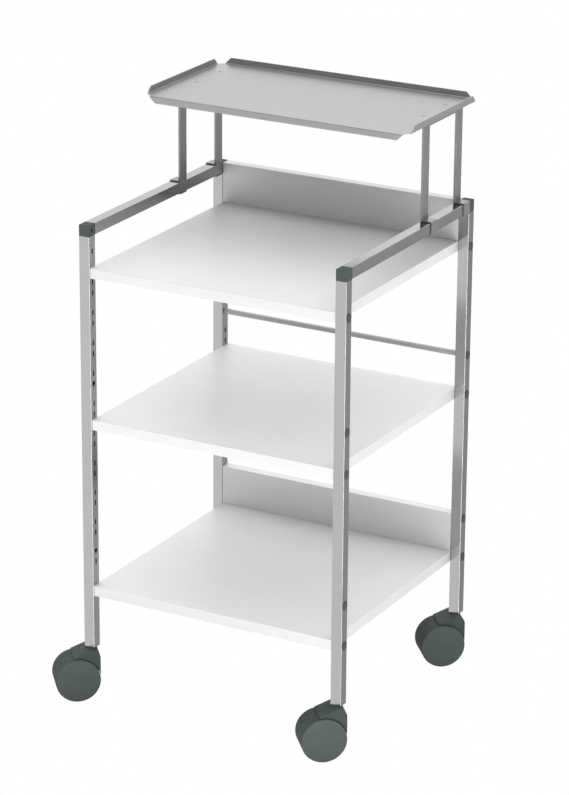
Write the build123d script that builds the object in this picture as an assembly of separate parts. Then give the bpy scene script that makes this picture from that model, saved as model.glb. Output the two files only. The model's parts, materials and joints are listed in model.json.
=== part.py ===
from build123d import *
from math import acos, atan2, cos, hypot, pi, radians, sin, sqrt
import os

# Equipment trolley: four square-tube posts on castors, three boards, a tray on a bridge.
# Millimetres, +X right, +Y back, +Z up, floor at z = 0, frame centred on the Z axis.

# Frame of square tube
tube = 20.0
tube_wall = 1.5
tube_radius = 1.0
frame_width = 512.0
frame_depth = 474.0
post_length = 756.0

# Moulded corner connectors
connector_edge = 0.8
spigot_length = 24.0
spigot_gap = 0.1
spigot_lead = 1.5

# Boards
board = 19.0
shelf_setback = 2.0
middle_drop = 274.0
bottom_drop = 310.0
upper_hole_rise = 74.0
upstand_gap = 0.15

# Hook slots in the inner faces of the posts
slots_between_shelves = 5
slot_pair_spacing = 19.3
slot_length = 10.0
slot_width = 3.6
slot_pairs_below = 5

# Bolts, blanking plugs and dowels, with few flats because there are so many
head_flat_count = 12
shank_flat_count = 6
fixing_hole = 8.0
bolt_shank = 7.0
bolt_head = 16.0
bolt_head_height = 1.4
bolt_grip = 28.0
plug_reach = 5.0
seat_gap = 0.05
dowel = 6.0
dowel_reach = 12.0
dowel_seat = 8.0
dowel_end_gap = 0.3

# Rear crossbar
crossbar = 10.0

# Castors, all turned the same way
castor_angle = 40.0
wheel_radius = 40.0
wheel_edge = 2.0
wheel_flat_count = 32
hood_flat_count = 32
crown_flat_count = 5
bore_flat_count = 20
castor_width = 56.0
castor_trail = 29.0
web = 7.0
web_tread_gap = 0.3
web_floor_gap = 2.5
wheel_side_gap = 0.3
axle = 8.0
axle_cover = 6.0
running_gap = 0.05
hood_width = 48.0
hood_gap = 0.7
hood_rise = 15.0
hood_rear = 11.5
hood_skirt_rise = 9.0
hood_crown = 15.0
hood_lip_angle = 79.5
hood_lip = 2.8
hood_edge = 1.0
stem = 11.0
stem_in_hood = 18.0
stem_in_socket = 22.0
swivel_gap = 0.3
socket_flange = 1.2
socket_length = 30.0

# Tray and the bridge that carries it
sheet = 2.0
sheet_bend = 1.5
bridge_height = 176.5
tray_width = 512.6
tray_front = -22.0
tray_back = 243.0
tray_corner = 12.0
tray_rim = 11.0
tray_apron = 10.5
bracket_sheet = 4.0
bracket_bend = 2.0
leg_width = 22.0
bridge_stop_gap = 1.5
leg_spacing = 126.0
bracket_reach = 28.0
bracket_apron = 5.0
screw_inset = 10.0
screw_spacing = 84.0
screw_shank = 4.0
screw_head = 8.0
screw_gap = 0.1
screw_end = 4.0
clip_gap = 0.2

# Places worked out from the sizes above
post_x = frame_width / 2 - tube / 2
post_y = frame_depth / 2 - tube / 2
hood_top = 2 * wheel_radius + hood_rise
post_bottom = hood_top + swivel_gap + socket_flange
post_top = post_bottom + post_length
rail_center = post_top + tube / 2
rail_top = rail_center + tube / 2
rail_end = post_y - tube / 2
top_level = rail_center - upper_hole_rise
middle_level = top_level - middle_drop
bottom_level = middle_level - bottom_drop
shelf_levels = {"top": top_level, "middle": middle_level, "bottom": bottom_level}
crossbar_level = middle_level + upper_hole_rise
bottom_upstand_hole = bottom_level + upper_hole_rise
drill_levels = [*shelf_levels.values(), crossbar_level, bottom_upstand_hole]
shelf_width = frame_width - 2 * tube
shelf_depth = frame_depth - 2 * shelf_setback
upstand_height = upper_hole_rise
upstand_width = 2 * (post_x - tube / 2 - upstand_gap)
slot_pitch = middle_drop / slots_between_shelves
tray_height = rail_top + bridge_height
tray_floor = tray_height - sheet
sheet_outer = sheet_bend + sheet
bridge_back = rail_end - bridge_stop_gap
bridge_front = bridge_back - leg_spacing - leg_width
bridge_center = (bridge_front + bridge_back) / 2
leg_face = frame_width / 2 - tube
clip_top = rail_top + clip_gap + sheet
screw_x = leg_face + bracket_sheet - bracket_reach + screw_inset

sides = {"left": -1, "right": 1}
ends = {"front": -1, "rear": 1}
corners = {f"{end}_{side}": (sx, sy) for end, sy in ends.items() for side, sx in sides.items()}


def across(radius, length):
    # a cylinder lying along X, centred on the origin
    return Rot(0, 90, 0) * Cylinder(radius, length)


def along(radius, length):
    # a cylinder lying along Y, centred on the origin
    return Rot(90, 0, 0) * Cylinder(radius, length)


def prism(radius, flats, length):
    # a many-sided bar standing on Z, centred on the origin
    return extrude(RegularPolygon(radius, flats), amount=length / 2, both=True)


def bore(radius, length):
    # a many-sided hole on Z that clears a round bar of this radius
    return prism(radius / cos(pi / bore_flat_count), bore_flat_count, length)


def prism_across(radius, flats, length):
    # the same bar lying along X
    return Rot(0, 90, 0) * prism(radius, flats, length)


def square_tube(length):
    # square tube standing on the origin
    outside = RectangleRounded(tube, tube, tube_radius)
    inside = Rectangle(tube - 2 * tube_wall, tube - 2 * tube_wall)
    return extrude(outside - inside, amount=length)


def slot_levels():
    # pairs halfway between the drilling marks, the topmost pair with its upper slot alone
    first = middle_level + slot_pitch / 2
    for step in range(-slot_pairs_below, slots_between_shelves + 1):
        yield first + step * slot_pitch + slot_pair_spacing / 2
        if step < slots_between_shelves:
            yield first + step * slot_pitch - slot_pair_spacing / 2


def post(sx, sy):
    body = Pos(sx * post_x, sy * post_y, post_bottom) * square_tube(post_length)
    drill = prism_across(fixing_hole / 2, shank_flat_count, 2 * tube)
    body -= [Pos(sx * post_x, sy * post_y, z) * drill for z in drill_levels]
    inner_wall = sx * (post_x - tube / 2 + tube_wall / 2)
    slot = Box(2 * tube_wall, slot_width, slot_length)
    return body - [Pos(inner_wall, sy * post_y, z) * slot for z in slot_levels()]


def rail(sx):
    length = 2 * rail_end
    return Pos(sx * post_x, -rail_end, rail_center) * Rot(-90, 0, 0) * square_tube(length)


def spigot():
    # tapered-end plug that fills a tube, pointing down from the origin
    size = tube - 2 * tube_wall - 2 * spigot_gap
    block = Pos(0, 0, -spigot_length / 2) * Box(size, size, spigot_length)
    return chamfer(block.faces().sort_by(Axis.Z)[0].edges(), spigot_lead)


def corner_connector(sx, sy):
    cube = chamfer(Box(tube, tube, tube).edges(), connector_edge)
    down = Pos(0, 0, -tube / 2) * spigot()
    to_rail = Rot(sy * -90, 0, 0) * down
    seat = prism_across(dowel / 2 + seat_gap, shank_flat_count, 2 * dowel_seat)
    body = cube + down + to_rail - Pos(-sx * tube / 2, 0, 0) * seat
    return Pos(sx * post_x, sy * post_y, rail_center) * body


def bolt_socket():
    return prism_across(bolt_shank / 2 + seat_gap, shank_flat_count, 2 * (bolt_grip + seat_gap))


def shelf(level):
    panel = Box(shelf_width, shelf_depth, board)
    hole = bolt_socket()
    for sx, sy in corners.values():
        panel -= Pos(sx * shelf_width / 2, sy * post_y, 0) * hole
    return Pos(0, 0, level) * panel


def upstand(level, hole_radius, hole_depth):
    # back board standing on a shelf, with a hole in each end
    panel = Pos(0, 0, board / 2 + upstand_height / 2) * Box(upstand_width, board, upstand_height)
    hole = prism_across(hole_radius, shank_flat_count, 2 * hole_depth)
    panel -= [Pos(sx * upstand_width / 2, 0, upper_hole_rise) * hole for sx in sides.values()]
    return Pos(0, post_y, level) * panel


def rear_crossbar():
    bar = across(crossbar / 2, shelf_width)
    hole = bolt_socket()
    bar -= [Pos(sx * shelf_width / 2, 0, 0) * hole for sx in sides.values()]
    return Pos(0, post_y, crossbar_level) * bar


def fixing(sx, sy, level, reach):
    # round flat head outside a post and a shank that points to the middle of the frame
    head = prism_across(bolt_head / 2, head_flat_count, bolt_head_height)
    head = Pos(bolt_head_height / 2, 0, 0) * head
    shank = Pos(-reach / 2, 0, 0) * prism_across(bolt_shank / 2, shank_flat_count, reach)
    turn = Rot(0, 0, 0 if sx > 0 else 180)
    return Pos(sx * frame_width / 2, sy * post_y, level) * turn * (head + shank)


def shelf_bolts(level):
    return [fixing(sx, sy, level, tube + bolt_grip) for sx, sy in corners.values()]


def rear_bolts(level):
    return [fixing(sx, 1, level, tube + bolt_grip) for sx in sides.values()]


def blanking_plugs():
    levels = (crossbar_level, bottom_upstand_hole)
    return [fixing(sx, -1, z, plug_reach) for sx in sides.values() for z in levels]


def upstand_dowels():
    # plain pins from the rear connectors into the ends of the top upstand
    inner_face = post_x - tube / 2
    outer_end = inner_face + dowel_seat - dowel_end_gap
    inner_end = upstand_width / 2 - dowel_reach + dowel_end_gap
    pin = prism_across(dowel / 2, shank_flat_count, outer_end - inner_end)
    middle = (outer_end + inner_end) / 2
    return [Pos(sx * middle, post_y, rail_center) * pin for sx in sides.values()]


def castor_place(sx, sy):
    # castor frame: X trails behind the stem, Y along the axle
    return Pos(sx * post_x, sy * post_y, 0) * Rot(0, 0, 180 + castor_angle)


def hood():
    # roof that slopes down over both wheels, and a web between them that carries the axle
    center = Pos(castor_trail, 0, wheel_radius)
    pocket = wheel_radius + hood_gap
    lip_angle = radians(hood_lip_angle)
    lip = [
        (castor_trail + reach * cos(lip_angle), wheel_radius + reach * sin(lip_angle))
        for reach in (pocket + hood_lip, pocket)
    ]
    skirt_x = castor_trail - sqrt(pocket**2 - hood_skirt_rise**2)
    skirt_z = wheel_radius + hood_skirt_rise
    crown_x = hood_crown - hood_rear
    crown_z = hood_top - hood_crown
    lip_x = lip[0][0] - crown_x
    lip_z = lip[0][1] - crown_z
    slope_start = atan2(lip_z, lip_x) + acos(hood_crown / hypot(lip_x, lip_z))
    crown = []
    for step in range(crown_flat_count + 1):
        angle = pi + (slope_start - pi) * step / crown_flat_count
        crown.append((crown_x + hood_crown * cos(angle), crown_z + hood_crown * sin(angle)))
    outline = Polyline(
        (skirt_x, skirt_z), (-hood_rear, skirt_z), *crown, *lip, (castor_trail, wheel_radius),
        close=True,
    )
    body = extrude(Plane.XZ * make_face(outline), amount=hood_width / 2, both=True)

    def is_roof_edge(edge):
        spot = edge.center()
        on_side = abs(abs(spot.Y) - hood_width / 2) < seat_gap
        from_axle = sqrt((spot.X - castor_trail) ** 2 + (spot.Z - wheel_radius) ** 2)
        return on_side and from_axle > pocket + hood_lip

    body = chamfer([edge for edge in body.edges() if is_roof_edge(edge)], hood_edge)
    space = Rot(90, 0, 0) * prism(pocket / cos(pi / hood_flat_count), hood_flat_count, hood_width)
    for side in (-1, 1):
        body -= center * Pos(0, side * (web / 2 + hood_width / 2), 0) * space
    body += center * Rot(90, 0, 0) * prism(wheel_radius - web_tread_gap, hood_flat_count, web)
    body -= Pos(castor_trail, 0, 0) * Box(2 * wheel_radius, 2 * web, 2 * web_floor_gap)
    body -= center * Rot(90, 0, 0) * bore(axle / 2 + seat_gap, 2 * web)
    seat = stem_in_hood + seat_gap
    return body - Pos(0, 0, hood_top - seat / 2) * bore(stem / 2 + seat_gap, seat)


def swivel_stem():
    # steel pin, fast in the hood and free to turn in the socket
    low = hood_top - stem_in_hood
    high = post_bottom + stem_in_socket
    return Pos(0, 0, (low + high) / 2) * Cylinder(stem / 2, high - low)


def wheel_axle():
    length = castor_width - 2 * axle_cover
    return Pos(castor_trail, 0, wheel_radius) * along(axle / 2, length)


def wheel(side):
    # closed disc outside, a blind bore that runs on the axle inside
    inner = web / 2 + wheel_side_gap
    outer = castor_width / 2
    disc = extrude(RegularPolygon(wheel_radius, wheel_flat_count), amount=outer - inner)
    disc = chamfer(disc.faces().sort_by(Axis.Z)[-1].edges(), wheel_edge)
    bore_end = outer - inner - axle_cover + running_gap
    disc -= bore(axle / 2 + running_gap, 2 * bore_end)
    return Pos(castor_trail, 0, wheel_radius) * Rot(-90 * side, 0, 0) * Pos(0, 0, inner) * disc


def castor_socket(sx, sy):
    # plastic plug in the foot of a post, bored for the stem
    size = tube - 2 * tube_wall - 2 * spigot_gap
    flange = Pos(0, 0, -socket_flange / 2) * Box(tube, tube, socket_flange)
    flange = chamfer(flange.edges().filter_by(Axis.Z), tube_radius / 2)
    body = flange + Pos(0, 0, socket_length / 2) * Box(size, size, socket_length)
    bore_end = stem_in_socket + swivel_gap
    length = bore_end + socket_flange
    body -= Pos(0, 0, bore_end - length / 2) * bore(stem / 2 + running_gap, length)
    return Pos(sx * post_x, sy * post_y, post_bottom) * body


def tray_flange(length, rise):
    # edge folded up from a sheet that ends at x = 0, with slanting ends
    high = sheet + rise
    profile = [
        Line((0, sheet), (0, 0)),
        TangentArc((0, 0), (sheet_outer, sheet_outer), tangent=(1, 0)),
        Line((sheet_outer, sheet_outer), (sheet_outer, high)),
        Line((sheet_outer, high), (sheet_bend, high)),
        Line((sheet_bend, high), (sheet_bend, sheet_outer)),
        TangentArc((sheet_bend, sheet_outer), (0, sheet), tangent=(0, -1)),
    ]
    fold = extrude(Plane.XZ * make_face(profile), amount=length / 2, both=True)
    half = length / 2
    slant = Polyline(
        (-half, 0), (half, 0), (half, sheet), (half - rise, high), (rise - half, high), (-half, sheet),
        close=True,
    )
    return fold & extrude(Plane.YZ * make_face(slant), amount=2 * sheet_outer, both=True)


def tray_plate():
    across_length = tray_width - 2 * tray_corner
    depth = tray_back - tray_front
    along_length = depth - 2 * tray_corner
    half_x = tray_width / 2 - sheet_outer
    half_y = depth / 2 - sheet_outer
    quarter = [(half_x, along_length / 2), (across_length / 2, half_y)]
    outline = quarter + [(-x, y) for x, y in reversed(quarter)]
    outline += [(-x, -y) for x, y in outline]
    body = extrude(make_face(Polyline(*outline, close=True)), amount=sheet)
    rim = tray_flange(along_length, tray_rim)
    body += Pos(half_x, 0, 0) * rim
    body += Rot(0, 0, 180) * Pos(half_x, 0, 0) * rim
    body += Rot(0, 0, 90) * Pos(half_y, 0, 0) * tray_flange(across_length, tray_rim)
    apron = Rot(180, 0, 0) * tray_flange(across_length, tray_apron)
    body += Rot(0, 0, -90) * Pos(half_y, 0, sheet) * apron
    body = Pos(0, (tray_front + tray_back) / 2, tray_floor) * body
    return body - [place * screw(0) for place in screw_places()]


def screw_places():
    # on the tray's upper face
    ys = (bridge_center - screw_spacing / 2, bridge_center + screw_spacing / 2)
    return [Pos(sx * screw_x, y, tray_height) for sx in sides.values() for y in ys]


def screw(gap):
    # flat head sunk in the sheet, shank through sheet and bracket, upper face at the origin
    depth = (screw_head - screw_shank) / 2 * cos(pi / head_flat_count)
    head = extrude(RegularPolygon(screw_head / 2 - gap, head_flat_count), amount=-depth, taper=45)
    length = sheet + bracket_sheet + screw_end
    return head + Pos(0, 0, -length / 2) * prism(screw_shank / 2 - gap, head_flat_count, length)


def tray_screws():
    return [place * screw(screw_gap) for place in screw_places()]


def bridge_bracket(sx):
    # strip under the tray with two legs folded down at its outer edge
    outer = bracket_bend + bracket_sheet
    edge = leg_face + bracket_sheet
    under = tray_floor - bracket_sheet
    profile = [
        Line((edge - bracket_reach, tray_floor), (edge - outer, tray_floor)),
        TangentArc((edge - outer, tray_floor), (edge, tray_floor - outer), tangent=(1, 0)),
        Line((edge, tray_floor - outer), (edge, clip_top)),
        Line((edge, clip_top), (leg_face, clip_top)),
        Line((leg_face, clip_top), (leg_face, tray_floor - outer)),
        TangentArc((leg_face, tray_floor - outer), (edge - outer, under), tangent=(0, 1)),
        Line((edge - outer, under), (edge - bracket_reach, under)),
        Line((edge - bracket_reach, under), (edge - bracket_reach, tray_floor)),
    ]
    length = bridge_back - bridge_front
    body = extrude(Plane.XZ * make_face(profile), amount=length / 2, both=True)
    gap_high = tray_floor - outer - bracket_apron
    gap = Box(4 * bracket_sheet, leg_spacing - leg_width, gap_high - clip_top)
    body -= Pos(leg_face, 0, (gap_high + clip_top) / 2) * gap
    body = Pos(0, bridge_center, 0) * body
    hole = prism(screw_shank / 2, head_flat_count, 4 * bracket_sheet)
    for place in screw_places():
        body -= Pos(screw_x, place.position.Y, tray_floor) * hole
    return body if sx > 0 else mirror(body, about=Plane.YZ)


def rail_clip(sx, y):
    # channel that hooks over a side rail from outside and turns under it
    low = rail_center - tube / 2 - clip_gap
    high = rail_top + clip_gap
    wall = frame_width / 2 + clip_gap
    profile = Polyline(
        (leg_face, high), (wall, high), (wall, low), (leg_face, low), (leg_face, low - sheet),
        (wall + sheet, low - sheet), (wall + sheet, clip_top), (leg_face, clip_top),
        close=True,
    )
    folds = make_face(profile).vertices().group_by(Axis.X)[-1]
    clip = extrude(Plane.XZ * chamfer(folds, sheet / 2), amount=leg_width / 2, both=True)
    clip = Pos(0, y, 0) * clip
    return clip if sx > 0 else mirror(clip, about=Plane.YZ)


def write(node, *solids):
    body = solids[0] if len(solids) == 1 else Compound(children=list(solids))
    export_step(body, os.path.join("parts", node + ".step"))


os.makedirs("parts", exist_ok=True)

for corner, (sx, sy) in corners.items():
    write(f"post_{corner}", post(sx, sy))
    write(f"connector_{corner}", corner_connector(sx, sy))
    write(f"castor_socket_{corner}", castor_socket(sx, sy))
    place = castor_place(sx, sy)
    write(f"castor_hood_{corner}", place * hood())
    write(f"castor_stem_{corner}", place * swivel_stem())
    write(f"castor_axle_{corner}", place * wheel_axle())
    write(f"castor_wheel_{corner}_a", place * wheel(1))
    write(f"castor_wheel_{corner}_b", place * wheel(-1))

for side, sx in sides.items():
    write(f"rail_{side}", rail(sx))
    write(f"bridge_bracket_{side}", bridge_bracket(sx))
    write(f"rail_clip_front_{side}", rail_clip(sx, bridge_front + leg_width / 2))
    write(f"rail_clip_rear_{side}", rail_clip(sx, bridge_back - leg_width / 2))

for name, level in shelf_levels.items():
    write(f"shelf_{name}", shelf(level))
    write(f"shelf_bolts_{name}", *shelf_bolts(level))

write("upstand_top", upstand(top_level, dowel / 2 + seat_gap, dowel_reach))
write("upstand_bottom", upstand(bottom_level, bolt_shank / 2 + seat_gap, bolt_grip))
write("upstand_dowels", *upstand_dowels())
write("upstand_bolts", *rear_bolts(bottom_upstand_hole))
write("rear_crossbar", rear_crossbar())
write("crossbar_bolts", *rear_bolts(crossbar_level))
write("blanking_plugs", *blanking_plugs())
write("tray_plate", tray_plate())
write("tray_screws", *tray_screws())
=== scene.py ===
import json
from math import cos, radians, sin

import bmesh
import bpy
import numpy as np
from mathutils import Matrix, Vector

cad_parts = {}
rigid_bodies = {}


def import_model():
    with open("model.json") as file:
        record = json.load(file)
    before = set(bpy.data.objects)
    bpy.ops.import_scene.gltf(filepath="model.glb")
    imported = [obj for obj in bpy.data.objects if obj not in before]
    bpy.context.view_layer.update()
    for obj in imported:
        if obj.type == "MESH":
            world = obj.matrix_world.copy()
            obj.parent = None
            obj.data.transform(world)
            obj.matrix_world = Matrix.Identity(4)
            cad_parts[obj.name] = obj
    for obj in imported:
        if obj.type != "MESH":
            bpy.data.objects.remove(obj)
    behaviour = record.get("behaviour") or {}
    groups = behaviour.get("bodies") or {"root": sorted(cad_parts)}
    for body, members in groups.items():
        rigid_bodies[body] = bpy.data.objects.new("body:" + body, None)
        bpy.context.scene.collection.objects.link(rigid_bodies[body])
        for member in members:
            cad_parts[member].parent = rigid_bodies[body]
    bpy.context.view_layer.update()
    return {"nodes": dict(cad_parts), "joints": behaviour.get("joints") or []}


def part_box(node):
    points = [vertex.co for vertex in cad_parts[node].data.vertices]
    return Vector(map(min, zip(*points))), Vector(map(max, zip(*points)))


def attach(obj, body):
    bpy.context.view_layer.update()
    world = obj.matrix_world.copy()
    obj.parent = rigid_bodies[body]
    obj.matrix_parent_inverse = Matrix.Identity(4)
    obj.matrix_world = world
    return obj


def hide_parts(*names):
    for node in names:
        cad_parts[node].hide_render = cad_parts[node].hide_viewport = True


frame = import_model()
nodes = frame["nodes"]
joints = {joint["name"]: joint for joint in frame["joints"]}
corners = ("front_left", "front_right", "rear_left", "rear_right")


# Surfaces: each is an array of points and a list of face arrays that index them

# quads between neighbouring rows and columns of a grid of points, counted row after row
def gridFaces(rows, columns, closeRows=False, closeColumns=False):
    index = np.arange(rows * columns).reshape(rows, columns)
    if closeRows:
        index = np.vstack([index, index[:1]])
    if closeColumns:
        index = np.hstack([index, index[:, :1]])
    around = (index[:-1, :-1], index[:-1, 1:], index[1:, 1:], index[1:, :-1])
    return np.stack(around, axis=-1).reshape(-1, 4)


# the first and the last row of such a grid, each as one flat end
def endFaces(rows, columns):
    return np.arange(rows * columns).reshape(rows, columns)[[0, -1]]


# points on a circle: centre plus radius times (cosine, sine), from one turn to another in degrees
def arcPoints(centre, radius, start, end, steps):
    turn = np.radians(np.linspace(start, end, steps))
    return np.column_stack([centre[0] + radius * np.cos(turn), centre[1] + radius * np.sin(turn)])


# a (radius, height) profile turned once round a level axis:
# centre + height times axis + radius times (cosine of the turn times side + sine times other side)
def lathe(profile, centre, axis, steps):
    profile = np.asarray(profile, float)
    axis = np.asarray(axis, float) / np.linalg.norm(axis)
    side = np.cross(axis, (0, 0, 1))
    side /= np.linalg.norm(side)
    turn = np.linspace(0, 2 * np.pi, steps, endpoint=False)[:, None]
    ring = np.cos(turn) * side + np.sin(turn) * np.cross(axis, side)
    rise = np.asarray(centre, float) + profile[:, 1, None, None] * axis
    points = rise + profile[:, 0, None, None] * ring
    return points.reshape(-1, 3), [gridFaces(len(profile), steps, closeColumns=True)]


# a closed outline in a plane, carried straight from one level to another, with flat ends:
# origin + first coordinate times u + second times v + level times w
def prism(outline, levels, origin, u, v, w):
    outline = np.asarray(outline, float)
    flat = np.asarray(origin, float) + outline[:, :1] * np.asarray(u) + outline[:, 1:] * np.asarray(v)
    points = np.vstack([flat + level * np.asarray(w, float) for level in levels])
    count = len(outline)
    return points, [gridFaces(2, count, closeColumns=True), endFaces(2, count)]


# corner arcs of a rounded square about the origin, one after the other
def roundedSquare(half, radius, steps):
    inner = half - radius
    places = ((inner, inner, 0), (-inner, inner, 90), (-inner, -inner, 180), (inner, -inner, 270))
    return np.vstack([arcPoints((x, y), radius, turn, turn + 90, steps) for x, y, turn in places])


# a slot's outline: two half circles joined by straight sides, upright along the second coordinate
def slotOutline(length, width, steps):
    reach = length / 2 - width / 2
    top = arcPoints((0, reach), width / 2, 0, 180, steps)
    return np.vstack([top, arcPoints((0, -reach), width / 2, 180, 360, steps)])


# a box with round edges: each grid point of the box is drawn in to the core box,
# then pushed out by the radius along the line between the two
def roundedBox(low, high, radius, steps):
    low, high = np.asarray(low, float), np.asarray(high, float)
    centre, core = (low + high) / 2, (high - low) / 2 - radius
    spread = radius * np.tan(np.radians(np.linspace(0, 45, steps)))
    surfaces = []
    for axis, side in ((axis, side) for axis in range(3) for side in (-1, 1)):
        first, second = (axis + 1) % 3, (axis + 2) % 3
        lines = [np.concatenate([-core[i] - spread[::-1], core[i] + spread]) for i in (first, second)]
        outer = np.zeros((2 * steps, 2 * steps, 3))
        outer[..., first], outer[..., second] = np.meshgrid(*lines, indexing="ij")
        outer[..., axis] = side * (core[axis] + radius)
        inner = np.clip(outer, -core, core)
        away = outer - inner
        points = centre + inner + radius * away / np.linalg.norm(away, axis=-1, keepdims=True)
        surfaces.append((points.reshape(-1, 3), [gridFaces(2 * steps, 2 * steps)]))
    return surfaces


# lengths are in metres and angles in degrees
meshing = dict(mergeWithin=1e-6, smoothAngle=32, flatAngle=1, edgeAngle=50, edgeSteps=2)


# several surfaces in one mesh: each one's faces count on from the points before it,
# then seams and poles are merged and all faces turned outwards
def makeMesh(name, surfaces):
    starts = np.cumsum([0] + [len(points) for points, _ in surfaces])
    faces = []
    for start, (_, blocks) in zip(starts, surfaces):
        for block in blocks:
            faces += (start + block).tolist()
    mesh = bpy.data.meshes.new(name)
    mesh.from_pydata(np.vstack([points for points, _ in surfaces]).tolist(), [], faces)
    work = bmesh.new()
    work.from_mesh(mesh)
    bmesh.ops.remove_doubles(work, verts=work.verts, dist=meshing["mergeWithin"])
    bmesh.ops.recalc_face_normals(work, faces=work.faces)
    work.to_mesh(mesh)
    work.free()
    return mesh


# a mesh's points as rows of (x, y, z)
def pointsOf(mesh):
    points = np.empty(3 * len(mesh.vertices), np.float32)
    mesh.vertices.foreach_get("co", points)
    return points.reshape(-1, 3)


# one mesh with others cut away or added by exact Boolean, in the order given
def carved(mesh, *steps):
    place = bpy.context.scene.collection.objects
    blank = bpy.data.objects.new("blank", mesh)
    place.link(blank)
    tools = []
    for operation, tool in steps:
        tools.append(bpy.data.objects.new("tool", tool))
        place.link(tools[-1])
        cut = blank.modifiers.new("cut", "BOOLEAN")
        cut.operation, cut.object, cut.solver = operation, tools[-1], "EXACT"
    done = bpy.data.meshes.new_from_object(blank.evaluated_get(bpy.context.evaluated_depsgraph_get()))
    for used in (blank, *tools):
        bpy.data.objects.remove(used)
    return done


# a finished mesh as a piece that rides on a body and stands for its CAD nodes,
# smooth except where two faces meet at more than the smooth angle
def addPiece(name, mesh, finish, body, slot, *stoodFor):
    piece = bpy.data.objects.new(name, mesh)
    bpy.context.scene.collection.objects.link(piece)
    mesh.materials.clear()
    mesh.materials.append(finish)
    mesh.shade_smooth()
    mesh.set_sharp_from_angle(angle=radians(meshing["smoothAngle"]))
    normals = piece.modifiers.new("normals", "WEIGHTED_NORMAL")
    normals.keep_sharp = True  # broad faces stay flat beside their rounds
    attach(piece, body)
    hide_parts(*stoodFor)


# a CAD node keeps its shape and gets a finish, with its sharp edges broken by a narrow round
def dressNode(name, finish, edge=0.0):
    node = nodes[name]
    node.material_slots[0].material = finish
    if edge:
        node.modifiers.new("joined", "WELD").merge_threshold = meshing["mergeWithin"]
        flat = node.modifiers.new("flats", "DECIMATE")
        flat.decimate_type, flat.angle_limit = "DISSOLVE", radians(meshing["flatAngle"])
        soft = node.modifiers.new("edges", "BEVEL")
        soft.width, soft.segments, soft.limit_method = edge, meshing["edgeSteps"], "ANGLE"
        soft.angle_limit, soft.harden_normals = radians(meshing["edgeAngle"]), True


# Finishes: noise scales are in features per metre

noiseSet = dict(span=(0.3, 0.7), detail=4.0)  # most of a noise's values lie in the span


# a new material: its node tree, its shader and its object coordinates
def newFinish(name):
    material = bpy.data.materials.new(name)
    material.use_nodes = True
    tree = material.node_tree
    place = tree.nodes.new("ShaderNodeTexCoord").outputs["Object"]
    return material, tree, tree.nodes["Principled BSDF"], place


# noise over object coordinates, each coordinate times its own scale
def noise(tree, place, scale, detail=noiseSet["detail"]):
    mapping = tree.nodes.new("ShaderNodeMapping")
    mapping.inputs["Scale"].default_value = scale if isinstance(scale, tuple) else (scale,) * 3
    tree.links.new(place, mapping.inputs["Vector"])
    grain = tree.nodes.new("ShaderNodeTexNoise")
    grain.inputs["Scale"].default_value = 1.0
    grain.inputs["Detail"].default_value = detail
    tree.links.new(mapping.outputs["Vector"], grain.inputs["Vector"])
    return grain.outputs["Fac"]


# a value that runs from low to high as a noise runs through its span
def between(tree, source, low, high):
    spread = tree.nodes.new("ShaderNodeMapRange")
    spread.inputs["From Min"].default_value, spread.inputs["From Max"].default_value = noiseSet["span"]
    spread.inputs["To Min"].default_value, spread.inputs["To Max"].default_value = low, high
    tree.links.new(source, spread.inputs["Value"])
    return spread.outputs["Result"]


# a colour that runs from one to another as a noise runs through its span
def shades(tree, source, first, second):
    ramp = tree.nodes.new("ShaderNodeValToRGB")
    for stop, at, colour in zip(ramp.color_ramp.elements, noiseSet["span"], (first, second)):
        stop.position, stop.color = at, (*colour, 1)
    tree.links.new(source, ramp.inputs["Fac"])
    return ramp.outputs["Color"]


# fine relief: the shader's normal tilts with the slope of the source times the depth
def relief(tree, shader, source, depth, strength):
    bump = tree.nodes.new("ShaderNodeBump")
    bump.inputs["Distance"].default_value = depth
    bump.inputs["Strength"].default_value = strength
    tree.links.new(source, bump.inputs["Height"])
    tree.links.new(bump.outputs["Normal"], shader.inputs["Normal"])


metalSet = dict(cloud=35.0, glance=(0.45, 0.45, 0.45), relief=0.4)


# plated or coated metal: a faint cloud in the tone, fine marks in the roughness and the relief,
# and no brighter at a glancing view
def metalFinish(name, dark, light, smooth, rough, marks, depth, metal=1.0):
    material, tree, shader, place = newFinish(name)
    shader.inputs["Metallic"].default_value = metal
    shader.inputs["Specular Tint"].default_value = (*metalSet["glance"], 1)
    cloud = noise(tree, place, metalSet["cloud"])
    tree.links.new(shades(tree, cloud, dark, light), shader.inputs["Base Color"])
    lines = noise(tree, place, marks)
    tree.links.new(between(tree, lines, smooth, rough), shader.inputs["Roughness"])
    relief(tree, shader, lines, depth, metalSet["relief"])
    return material


plasticSet = dict(mottle=60.0, grainDetail=2.0, depth=0.00004, relief=0.35)


# moulded plastic: a slight mottle in the tone, fine spark-eroded grain in the roughness and the relief,
# and painted shade: the tone is darker by a share where the mesh's tread attribute is 1, for the shade on
# the tread
def plasticFinish(name, dark, light, smooth, rough, grainSize, gloss, treadPaintedShade=0.0):
    material, tree, shader, place = newFinish(name)
    tone = shades(tree, noise(tree, place, plasticSet["mottle"]), dark, light)
    # painted shade: the tone is multiplied darker where the tread attribute is 1
    if treadPaintedShade:
        band = tree.nodes.new("ShaderNodeAttribute")
        band.attribute_name = "tread"
        darker = tree.nodes.new("ShaderNodeMix")
        darker.data_type, darker.blend_type = "RGBA", "MULTIPLY"
        tree.links.new(band.outputs["Fac"], darker.inputs["Factor"])
        tree.links.new(tone, darker.inputs["A"])
        darker.inputs["B"].default_value = (*(1 - treadPaintedShade,) * 3, 1)
        tone = darker.outputs["Result"]
    tree.links.new(tone, shader.inputs["Base Color"])
    grain = noise(tree, place, 1 / grainSize, plasticSet["grainDetail"])
    tree.links.new(between(tree, grain, smooth, rough), shader.inputs["Roughness"])
    relief(tree, shader, grain, plasticSet["depth"], plasticSet["relief"])
    shader.inputs["Specular IOR Level"].default_value = gloss
    return material


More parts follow.
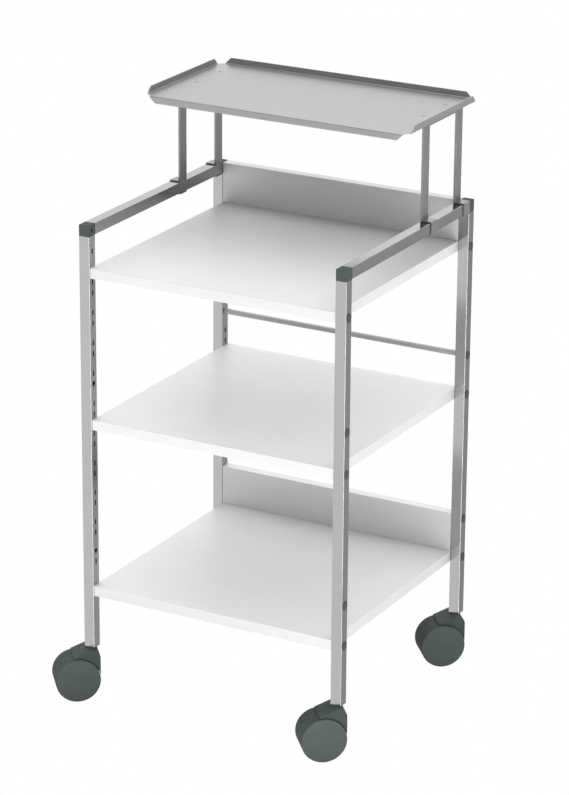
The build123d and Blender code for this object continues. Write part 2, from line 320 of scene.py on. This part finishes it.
boardSet = dict(cloud=18.0, peel=700.0, peelDetail=2.0, smooth=0.38, rough=0.5, depth=0.00003, relief=0.3,
                gloss=0.3)


# melamine-faced board: a wide cloud in the tone, orange peel in the roughness and the relief
def boardFinish(name, dark, light):
    material, tree, shader, place = newFinish(name)
    cloud = noise(tree, place, boardSet["cloud"])
    tree.links.new(shades(tree, cloud, dark, light), shader.inputs["Base Color"])
    peel = noise(tree, place, boardSet["peel"], boardSet["peelDetail"])
    tree.links.new(between(tree, peel, boardSet["smooth"], boardSet["rough"]), shader.inputs["Roughness"])
    relief(tree, shader, peel, boardSet["depth"], boardSet["relief"])
    shader.inputs["Specular IOR Level"].default_value = boardSet["gloss"]
    return material


chromeLook = dict(dark=(0.448, 0.448, 0.439), light=(0.46, 0.46, 0.451), smooth=0.13, rough=0.17,
                  depth=0.000001)
chrome = metalFinish("chrome plate", marks=(900.0, 900.0, 12.0), **chromeLook)
railChrome = metalFinish("rail chrome", marks=(900.0, 12.0, 900.0), **chromeLook)

bridgeLook = dict(dark=(0.281, 0.281, 0.28), light=(0.297, 0.297, 0.296), smooth=0.26, rough=0.32,
                  marks=(700.0, 700.0, 14.0), depth=0.000001, metal=0.58)
bridgeSteel = metalFinish("bridge steel", **bridgeLook)

coatLook = dict(dark=(0.368, 0.368, 0.366), light=(0.376, 0.376, 0.374), smooth=0.32, rough=0.42,
                marks=1600.0, depth=0.00001, metal=0.58)
trayCoat = metalFinish("silver coat", **coatLook)

barLook = dict(dark=(0.42, 0.42, 0.415), light=(0.44, 0.44, 0.435), smooth=0.34, rough=0.42,
               marks=(14.0, 700.0, 700.0), depth=0.000001, metal=0.25)
barSteel = metalFinish("satin bar", **barLook)

zincLook = dict(dark=(0.19, 0.19, 0.19), light=(0.22, 0.22, 0.22), smooth=0.25, rough=0.4,
                marks=500.0, depth=0.000004, metal=0.6)
brightSteel = metalFinish("zinc plate", **zincLook)

mouldLook = dict(smooth=0.55, rough=0.66, grainSize=0.0006)
slateLook = dict(dark=(0.07, 0.085, 0.084), light=(0.075, 0.091, 0.09), gloss=0.03)
slate = plasticFinish("slate plastic", **slateLook, **mouldLook)
# painted shade: the wheel's tread is drawn 30% darker than its disc, for the shade that falls on it
discLook = dict(dark=(0.093, 0.1135, 0.1115), light=(0.101, 0.123, 0.12), gloss=0.02, treadPaintedShade=0.3)
discSlate = plasticFinish("wheel plastic", **discLook, **mouldLook)

boardLook = dict(dark=(0.695, 0.695, 0.695), light=(0.71, 0.71, 0.71))
whiteBoard = boardFinish("white board", **boardLook)
print("finishes made")


# Posts: square tube with hook slots and round holes

post = dict(wall=0.0015, edge=0.001, innerEdge=0.0002, arcSteps=6,
            slotLength=0.010, slotWidth=0.0036, pairSpacing=0.0193, pairsAbove=5, pairsBelow=5,
            hole=0.008, holeRise=0.074, roundSteps=32)


# heights of the hook slots: equal pitches divide the space between two shelves and go on above and below;
# a pair lies half its spacing above and below the middle of each pitch, but the topmost is single
def slotHeights(middle, top):
    pitch = (top - middle) / post["pairsAbove"]
    first = middle + pitch / 2 + pitch * np.arange(-post["pairsBelow"], post["pairsAbove"] + 1)
    high, low = first + post["pairSpacing"] / 2, first[:-1] - post["pairSpacing"] / 2
    return np.concatenate([high, low])


# the rounded outer square and the inner square of the tube, carried from foot to top as one closed skin
def tubeSkin(centre, half, foot, top):
    outer = roundedSquare(half, post["edge"], post["arcSteps"])
    inner = roundedSquare(half - post["wall"], post["innerEdge"], post["arcSteps"])
    loops = [(outer, foot), (outer, top), (inner, top), (inner, foot)]
    points = np.vstack([np.column_stack([loop + centre, np.full(len(loop), z)]) for loop, z in loops])
    return points, [gridFaces(4, len(outer), closeRows=True, closeColumns=True)]


# height of a node's middle: the mean of its lowest and its highest point
def levelOf(node):
    low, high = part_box(node)
    return (low.z + high.z) / 2


shelfLevels = [levelOf(f"shelf_{name}") for name in ("top", "middle", "bottom")]
upperLevels = [level + post["holeRise"] for level in shelfLevels[1:]]  # over the two lower shelves


# a post: the tube's skin in the CAD node's box, less slots through its inner wall and less holes
# drilled straight across
def makePost(corner):
    low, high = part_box(f"post_{corner}")
    centre, half = (np.array(low) + np.array(high))[:2] / 2, (high.x - low.x) / 2
    inward = -np.sign(centre[0])
    tube = makeMesh("tube", [tubeSkin(centre, half, low.z, high.z)])
    slot = slotOutline(post["slotLength"], post["slotWidth"], post["roundSteps"] // 2)
    wallLevels = np.array([half - 2 * post["wall"], half + post["wall"]])
    across, up, out = (0, 1, 0), (0, 0, 1), (inward, 0, 0)
    slots = [prism(slot, wallLevels, (*centre, z), across, up, out)
             for z in slotHeights(shelfLevels[1], shelfLevels[0])]
    radius, reach = post["hole"] / 2, half + post["wall"]
    drill = [(0, -reach), (radius, -reach), (radius, reach), (0, reach)]
    holes = [lathe(drill, (*centre, z), out, post["roundSteps"]) for z in shelfLevels + upperLevels]
    cuts = [("DIFFERENCE", makeMesh("slots", slots)), ("DIFFERENCE", makeMesh("holes", holes))]
    addPiece(f"tube_{corner}", carved(tube, *cuts), chrome, "frame", "chrome_tube", f"post_{corner}")


for corner in corners:
    makePost(corner)
for side in ("left", "right"):
    dressNode(f"rail_{side}", railChrome)
dressNode("rear_crossbar", barSteel)
print("posts, rails and crossbar done")


# Corner connectors: moulded cubes with a pin hole in the inner face

connector = dict(edge=0.001, edgeSteps=6, hole=0.006, holeDepth=0.008, roundSteps=32)


# a connector: a rounded cube about the point where the lines of post and rail meet, less a round hole
def makeConnector(corner):
    low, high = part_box(f"post_{corner}")
    centre = np.array([(low.x + high.x) / 2, (low.y + high.y) / 2, levelOf("rail_left")])
    half = centre[2] - high.z  # the cube ends where the post begins
    block = roundedBox(centre - half, centre + half, connector["edge"], connector["edgeSteps"])
    cube = makeMesh("cube", block)
    radius, depth = connector["hole"] / 2, connector["holeDepth"]
    face = centre - np.array([np.sign(centre[0]) * half, 0, 0])
    drill = [(0, -depth), (radius, -depth), (radius, depth), (0, depth)]
    hole = makeMesh("hole", [lathe(drill, face, (1, 0, 0), connector["roundSteps"])])
    mesh = carved(cube, ("DIFFERENCE", hole))
    addPiece(f"corner_{corner}", mesh, slate, "frame", "grey_plastic", f"connector_{corner}")


for corner in corners:
    makeConnector(corner)
print("connectors done")


# Boards

board = dict(edge=0.0009)
for name in ("shelf_top", "shelf_middle", "shelf_bottom", "upstand_top", "upstand_bottom"):
    dressNode(name, whiteBoard, board["edge"])
dressNode("upstand_dowels", brightSteel)
print("boards done")


# Bolt heads and plugs: flat caps with a round shoulder, on a plain shank

cap = dict(radius=0.008, height=0.0014, dome=0.0004, shoulder=0.0006, shank=0.0035, boltReach=0.048,
           plugReach=0.005, roundSteps=48, domeSteps=6, shoulderSteps=5)


# profile of a cap from its crown down to the end of its shank, as (radius, height):
# the crown falls with the square of the radius, and a quarter round leads over to the side
def capProfile(reach):
    radius, height, shoulder = cap["radius"], cap["height"], cap["shoulder"]
    crown = np.linspace(0, radius - shoulder, cap["domeSteps"])
    dome = height - cap["dome"] * (crown / radius) ** 2
    edge = arcPoints((radius - shoulder, dome[-1] - shoulder), shoulder, 90, 0, cap["shoulderSteps"])
    stem = [(radius, 0), (cap["shank"], 0), (cap["shank"], -reach), (0, -reach)]
    return np.vstack([np.column_stack([crown, dome]), edge[1:], stem])


# caps of one node: the profile turned about a line that leaves the frame sideways at each place
def makeCaps(node, places, reach):
    profile = capProfile(reach)
    surfaces = [lathe(profile, place, (np.sign(place[0]), 0, 0), cap["roundSteps"]) for place in places]
    addPiece(f"caps_{node}", makeMesh(node, surfaces), slate, "frame", "dark_plastic", node)


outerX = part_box("post_front_right")[1].x
postY = {end: sum(tip.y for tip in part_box(f"post_{end}_left")) / 2 for end in ("front", "rear")}
sides = (-outerX, outerX)
for name, level in zip(("top", "middle", "bottom"), shelfLevels):
    places = [(x, y, level) for x in sides for y in postY.values()]
    makeCaps(f"shelf_bolts_{name}", places, cap["boltReach"])
barLevel, upstandLevel = upperLevels
makeCaps("crossbar_bolts", [(x, postY["rear"], barLevel) for x in sides], cap["boltReach"])
makeCaps("upstand_bolts", [(x, postY["rear"], upstandLevel) for x in sides], cap["boltReach"])
plugPlaces = [(x, postY["front"], z) for x in sides for z in upperLevels]
makeCaps("blanking_plugs", plugPlaces, cap["plugReach"])
print("caps done")


# Castors: a moulded hood with a web, and two wheels

# a castor's axle and its direction, the direction and length of the level trail from stem to axle,
# and the stem, all read from its joints
def castorFrame(corner):
    stem = np.array(joints[f"castor_swivel_{corner}"]["pos_m"])
    spin = joints[f"wheel_spin_{corner}_a"]
    axle, across = np.array(spin["pos_m"]), np.array(spin["axis"])
    trail = axle - stem
    trail[2] = 0
    reach = np.linalg.norm(trail)
    return axle, across, trail / reach, reach, stem


wheel = dict(rim=0.002, innerRim=0.001, bore=0.00405, boreDepth=0.0185, roundSteps=128, rimSteps=7)


# half section of a wheel as (radius, distance from the hood's middle): from the bore to the rim
# and over quarter rounds back to the middle of the outer disc
def wheelProfile(radius, inner, outer):
    rim, innerRim = wheel["rim"], wheel["innerRim"]
    back = arcPoints((radius - innerRim, inner + innerRim), innerRim, -90, 0, wheel["rimSteps"])
    front = arcPoints((radius - rim, outer - rim), rim, 0, 90, wheel["rimSteps"])
    deep = inner + wheel["boreDepth"]
    bore = [(0, deep), (wheel["bore"], deep), (wheel["bore"], inner)]
    return np.vstack([bore, back, front, [(0, outer)]])


# a wheel: its half section turned about the axle, as far out as the CAD node reaches; the tread attribute,
# which places the painted shade on the tread, runs from 0 on the disc to 1 on the tread over the outer half
# of the rim's round
def makeWheel(corner, letter):
    node = f"castor_wheel_{corner}_{letter}"
    axle, across = castorFrame(corner)[:2]
    radius = axle[2]
    reach = (pointsOf(nodes[node].data) - axle) @ across
    side = np.sign(reach.mean())
    profile = wheelProfile(radius, np.abs(reach).min(), np.abs(reach).max())
    mesh = makeMesh(node, [lathe(profile, axle, side * across, wheel["roundSteps"])])
    away = pointsOf(mesh) - axle
    radii = np.linalg.norm(away - (away @ across)[:, None] * across, axis=1)
    band = np.clip((radii - radius + wheel["rim"] / 2) / (wheel["rim"] / 2), 0, 1)
    mesh.attributes.new("tread", "FLOAT", "POINT").data.foreach_set("value", band.astype(np.float32))
    body = f"wheel_{corner}_{letter}"
    addPiece(f"roller_{corner}_{letter}", mesh, discSlate, body, "wheel_plastic", node)


hood = dict(width=0.048, gap=0.0007, rear=0.0115, skirtRise=0.009, crown=0.015, lipTurn=79.5, lip=0.0028,
            edge=0.0015, tipShare=0.35, web=0.007, webTreadGap=0.0003, webFloorGap=0.0025,
            arcSteps=20, edgeSteps=6, roundSteps=128)


# the roof line from the skirt up and over a round crown, then down a slope that leaves the crown's circle
# at a tangent and ends on the lip, with its outward directions, in (trail, height)
def roofLine(axleAt, pocket, top):
    rear, crown = hood["rear"], hood["crown"]
    turn = radians(hood["lipTurn"])
    lipOut = np.array(axleAt) + (pocket + hood["lip"]) * np.array([cos(turn), sin(turn)])
    centre = np.array([crown - rear, top - crown])
    toLip = lipOut - centre
    slopeTurn = np.degrees(np.arctan2(toLip[1], toLip[0]) + np.arccos(crown / np.linalg.norm(toLip)))
    crownOut = arcPoints((0, 0), 1, 180, slopeTurn, hood["arcSteps"])
    line = np.vstack([[(-rear, axleAt[1] + hood["skirtRise"])], centre + crown * crownOut, [lipOut]])
    return line, np.vstack([[(-hood["tipShare"], 0)], crownOut, crownOut[-1:]])


# the hood's block: the roof line and a line through the axle close an outline, which is carried across;
# towards each cheek the roof is drawn in by radius - sqrt(radius^2 - step^2), a quarter round
def hoodBlock(corner, pocket, top):
    axle, across, trail, reach, stem = castorFrame(corner)
    line, out = roofLine((reach, axle[2]), pocket, top)
    turn = radians(hood["lipTurn"])
    lipIn = (reach + pocket * cos(turn), axle[2] + pocket * sin(turn))
    skirtIn = (reach - np.sqrt(pocket**2 - hood["skirtRise"] ** 2), axle[2] + hood["skirtRise"])
    inside = np.array([lipIn, (reach, axle[2]), skirtIn])
    outline, away = np.vstack([line, inside]), np.vstack([out, np.zeros_like(inside)])
    half, edge = hood["width"] / 2, hood["edge"]
    swing = np.radians(np.linspace(0, 90, hood["edgeSteps"]))
    depth, step = edge * (1 - np.cos(swing)), half - edge + edge * np.sin(swing)
    places = np.concatenate([-step[::-1], step])[:, None, None]
    draws = np.concatenate([depth[::-1], depth])[:, None, None]
    section = outline - draws * away
    base = np.array([stem[0], stem[1], 0])
    points = base + section[..., :1] * trail + places * across + section[..., 1:] * (0, 0, 1)
    rows, count = section.shape[:2]
    return points.reshape(-1, 3), [gridFaces(rows, count, closeColumns=True), endFaces(rows, count)]


# a hood: its block and a disc with a flat foot, less a round room for each wheel, which also trims
# the disc to the web's thickness
def makeHood(corner):
    node = f"castor_hood_{corner}"
    axle, across, trail = castorFrame(corner)[:3]
    pocket, top = axle[2] + hood["gap"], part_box(node)[1].z
    block = makeMesh("block", [hoodBlock(corner, pocket, top)])
    web, outside = hood["web"], hood["width"]
    room = [(0, web / 2), (pocket, web / 2), (pocket, outside), (0, outside)]
    rooms = [lathe(room, axle, side * across, hood["roundSteps"]) for side in (-1, 1)]
    radius = axle[2] - hood["webTreadGap"]
    footDrop = axle[2] - hood["webFloorGap"]  # from the axle down to the foot
    foot = np.degrees(np.arccos(footDrop / radius))  # half the turn that the foot cuts off
    outline = arcPoints((0, 0), radius, foot - 90, 270 - foot, hood["roundSteps"])
    disc = prism(outline, (-web, web), axle, trail, (0, 0, 1), across)
    steps = [("UNION", makeMesh("web", [disc])), ("DIFFERENCE", makeMesh("rooms", rooms))]
    addPiece(f"shroud_{corner}", carved(block, *steps), slate, f"castor_{corner}", "grey_plastic", node)


socket = dict(edge=0.0003)
for corner in corners:
    makeHood(corner)
    makeWheel(corner, "a")
    makeWheel(corner, "b")
    dressNode(f"castor_socket_{corner}", slate, socket["edge"])
    dressNode(f"castor_stem_{corner}", brightSteel)
    dressNode(f"castor_axle_{corner}", brightSteel)
print("castors done")


# Tray and bridge

tray = dict(edge=0.0003, bracketEdge=0.0003, clipEdge=0.00015)
dressNode("tray_plate", trayCoat, tray["edge"])
dressNode("tray_screws", brightSteel)
for side in ("left", "right"):
    dressNode(f"bridge_bracket_{side}", bridgeSteel, tray["bracketEdge"])
    for end in ("front", "rear"):
        dressNode(f"rail_clip_{end}_{side}", bridgeSteel, tray["clipEdge"])
print("tray and bridge done")


# Floor, light and camera

# one step of arithmetic on node sockets and plain numbers
def worked(tree, operation, *values):
    step = tree.nodes.new("ShaderNodeMath")
    step.operation = operation
    for socketIn, value in zip(step.inputs, values):
        if isinstance(value, bpy.types.NodeSocket):
            tree.links.new(value, socketIn)
        else:
            socketIn.default_value = value
    return step.outputs[0]


# a value where it is above 0, and 0 elsewhere
def positive(tree, value):
    return worked(tree, "MAXIMUM", value, 0.0)


# share^2 times (3 - 2 share), where the share runs from 0 to 1 between two values
def ramped(tree, source, start, end):
    step = tree.nodes.new("ShaderNodeMapRange")
    step.interpolation_type = "SMOOTHSTEP"
    step.inputs["From Min"].default_value, step.inputs["From Max"].default_value = start, end
    tree.links.new(source, step.inputs["Value"])
    return step.outputs["Result"]


# a start value plus each share times its strength
def summed(tree, start, *shares):
    for share, strength in shares:
        start = worked(tree, "MULTIPLY_ADD", share, strength, start)
    return start


# the x, y and z of a direction or a place
def threeParts(tree, source):
    parts = tree.nodes.new("ShaderNodeSeparateXYZ")
    tree.links.new(source, parts.inputs["Vector"])
    return parts.outputs


floorSet = dict(size=40.0, lines=3, tone=(0.5, 0.5, 0.5), rough=1.0, glow=0.01,
                frontGlow=2.1, frontNear=(0.0, -1.0), frontFar=(-1.0, -3.0),
                rightGlow=0.68, rightNear=(0.05, 0.4))


# a flat square grid, plain white to the camera; its glow is a base plus a share for a band in front of
# the trolley and a share for all that lies to its right
def makeFloor():
    line = np.linspace(-floorSet["size"] / 2, floorSet["size"] / 2, floorSet["lines"])
    u, v = np.meshgrid(line, line, indexing="ij")
    points = np.column_stack([u.ravel(), v.ravel(), np.zeros(u.size)])
    mesh = bpy.data.meshes.new("floor")
    mesh.from_pydata(points.tolist(), [], gridFaces(*u.shape).tolist())
    paper, tree, shader, place = newFinish("pale floor")
    shader.inputs["Base Color"].default_value = (*floorSet["tone"], 1)
    shader.inputs["Roughness"].default_value = floorSet["rough"]
    shader.inputs["Emission Color"].default_value = (1, 1, 1, 1)
    x, y, _ = threeParts(tree, place)
    near, far = ramped(tree, y, *floorSet["frontNear"]), ramped(tree, y, *floorSet["frontFar"])
    front = worked(tree, "SUBTRACT", near, far)
    right = ramped(tree, x, *floorSet["rightNear"])
    glow = summed(tree, floorSet["glow"], (front, floorSet["frontGlow"]), (right, floorSet["rightGlow"]))
    tree.links.new(glow, shader.inputs["Emission Strength"])
    white, mix = tree.nodes.new("ShaderNodeEmission"), tree.nodes.new("ShaderNodeMixShader")
    tree.links.new(tree.nodes.new("ShaderNodeLightPath").outputs["Is Camera Ray"], mix.inputs["Fac"])
    tree.links.new(shader.outputs["BSDF"], mix.inputs[1])
    tree.links.new(white.outputs["Emission"], mix.inputs[2])
    tree.links.new(mix.outputs["Shader"], tree.nodes["Material Output"].inputs["Surface"])
    mesh.materials.append(paper)
    floor = bpy.data.objects.new("floor", mesh)
    bpy.context.scene.collection.objects.link(floor)
    floor.visible_glossy = False  # polished tubes mirror the studio round them


makeFloor()

studio = dict(lobe=1.79, lobeWay=(-0.45, 0.83, 0.34), lobePower=4.0, high=2.07, lowRight=1.02, lowPower=3.0,
              mirror=0.6, mirrorFront=0.2, mirrorLeft=0.684,
              glint=17.0, glintWay=(0.908, -0.243, -0.342), glintPower=150.0)


# a round lobe of light: the cosine of the angle to its middle, raised to a power
def lobeOf(tree, way, middle, power):
    aim = tree.nodes.new("ShaderNodeVectorMath")
    aim.operation = "DOT_PRODUCT"
    tree.links.new(way, aim.inputs[0])
    aim.inputs[1].default_value = Vector(middle).normalized()
    return worked(tree, "POWER", positive(tree, aim.outputs["Value"]), power)


# studio light, plain white to the camera: the sky is a lobe at the far left, plus the square of the height,
# plus a low glow at the right; below the horizon, where only polished faces look, it is a base that is
# brighter at the front and the left, plus one small lamp
def makeWorld():
    world = bpy.data.worlds.new("studio")
    bpy.context.scene.world = world
    world.use_nodes = True
    tree = world.node_tree
    shade = tree.nodes["Background"]
    shade.inputs["Color"].default_value = (1, 1, 1, 1)
    way = tree.nodes.new("ShaderNodeTexCoord").outputs["Generated"]
    x, y, z = threeParts(tree, way)
    right = positive(tree, x)
    left = positive(tree, worked(tree, "MULTIPLY", x, -1.0))
    front = positive(tree, worked(tree, "MULTIPLY", y, -1.0))
    low = worked(tree, "POWER", worked(tree, "SUBTRACT", 1.0, z), studio["lowPower"])
    lobe = lobeOf(tree, way, studio["lobeWay"], studio["lobePower"])
    high, lowRight = worked(tree, "MULTIPLY", z, z), worked(tree, "MULTIPLY", right, low)
    skyShares = [(lobe, studio["lobe"]), (high, studio["high"]), (lowRight, studio["lowRight"])]
    sky = summed(tree, 0.0, *skyShares)
    lamp = lobeOf(tree, way, studio["glintWay"], studio["glintPower"])
    mirrorShares = [(front, studio["mirrorFront"]), (left, studio["mirrorLeft"]), (lamp, studio["glint"])]
    mirror = summed(tree, studio["mirror"], *mirrorShares)
    above = worked(tree, "GREATER_THAN", z, 0.0)
    below = worked(tree, "SUBTRACT", 1.0, above)
    seen = worked(tree, "MULTIPLY_ADD", sky, above, worked(tree, "MULTIPLY", mirror, below))
    camera = tree.nodes.new("ShaderNodeLightPath").outputs["Is Camera Ray"]
    unseen = worked(tree, "SUBTRACT", 1.0, camera)
    tree.links.new(worked(tree, "MULTIPLY_ADD", seen, unseen, camera), shade.inputs["Strength"])


makeWorld()

view = dict(place=(2.704398, -4.910923, 2.558843), yaw=28.72423, pitch=19.85911, roll=0.42782,
            focal=3414.785, tall=795, sensor=36.0, nearest=0.1, farthest=100.0)


# camera looking along yaw and pitch, then rolled about its line of sight;
# its lens is the focal length in pixels over the picture's height, times the sensor's size
def makeCamera():
    yaw, pitch, roll = (radians(view[turn]) for turn in ("yaw", "pitch", "roll"))
    ahead = Vector((-sin(yaw) * cos(pitch), cos(yaw) * cos(pitch), -sin(pitch)))
    right = Vector((cos(yaw), sin(yaw), 0))
    up = right.cross(ahead)
    tilted = cos(roll) * right + sin(roll) * up
    upright = cos(roll) * up - sin(roll) * right
    data = bpy.data.cameras.new("camera")
    data.sensor_width = view["sensor"]
    data.lens = view["focal"] / view["tall"] * view["sensor"]
    data.clip_start, data.clip_end = view["nearest"], view["farthest"]
    camera = bpy.data.objects.new("camera", data)
    axes = Matrix((tilted, upright, -ahead)).transposed().to_4x4()
    camera.matrix_world = Matrix.Translation(view["place"]) @ axes
    bpy.context.scene.collection.objects.link(camera)
    bpy.context.scene.camera = camera


makeCamera()
bpy.context.scene.view_settings.view_transform = "Standard"
print("floor, light and camera done")
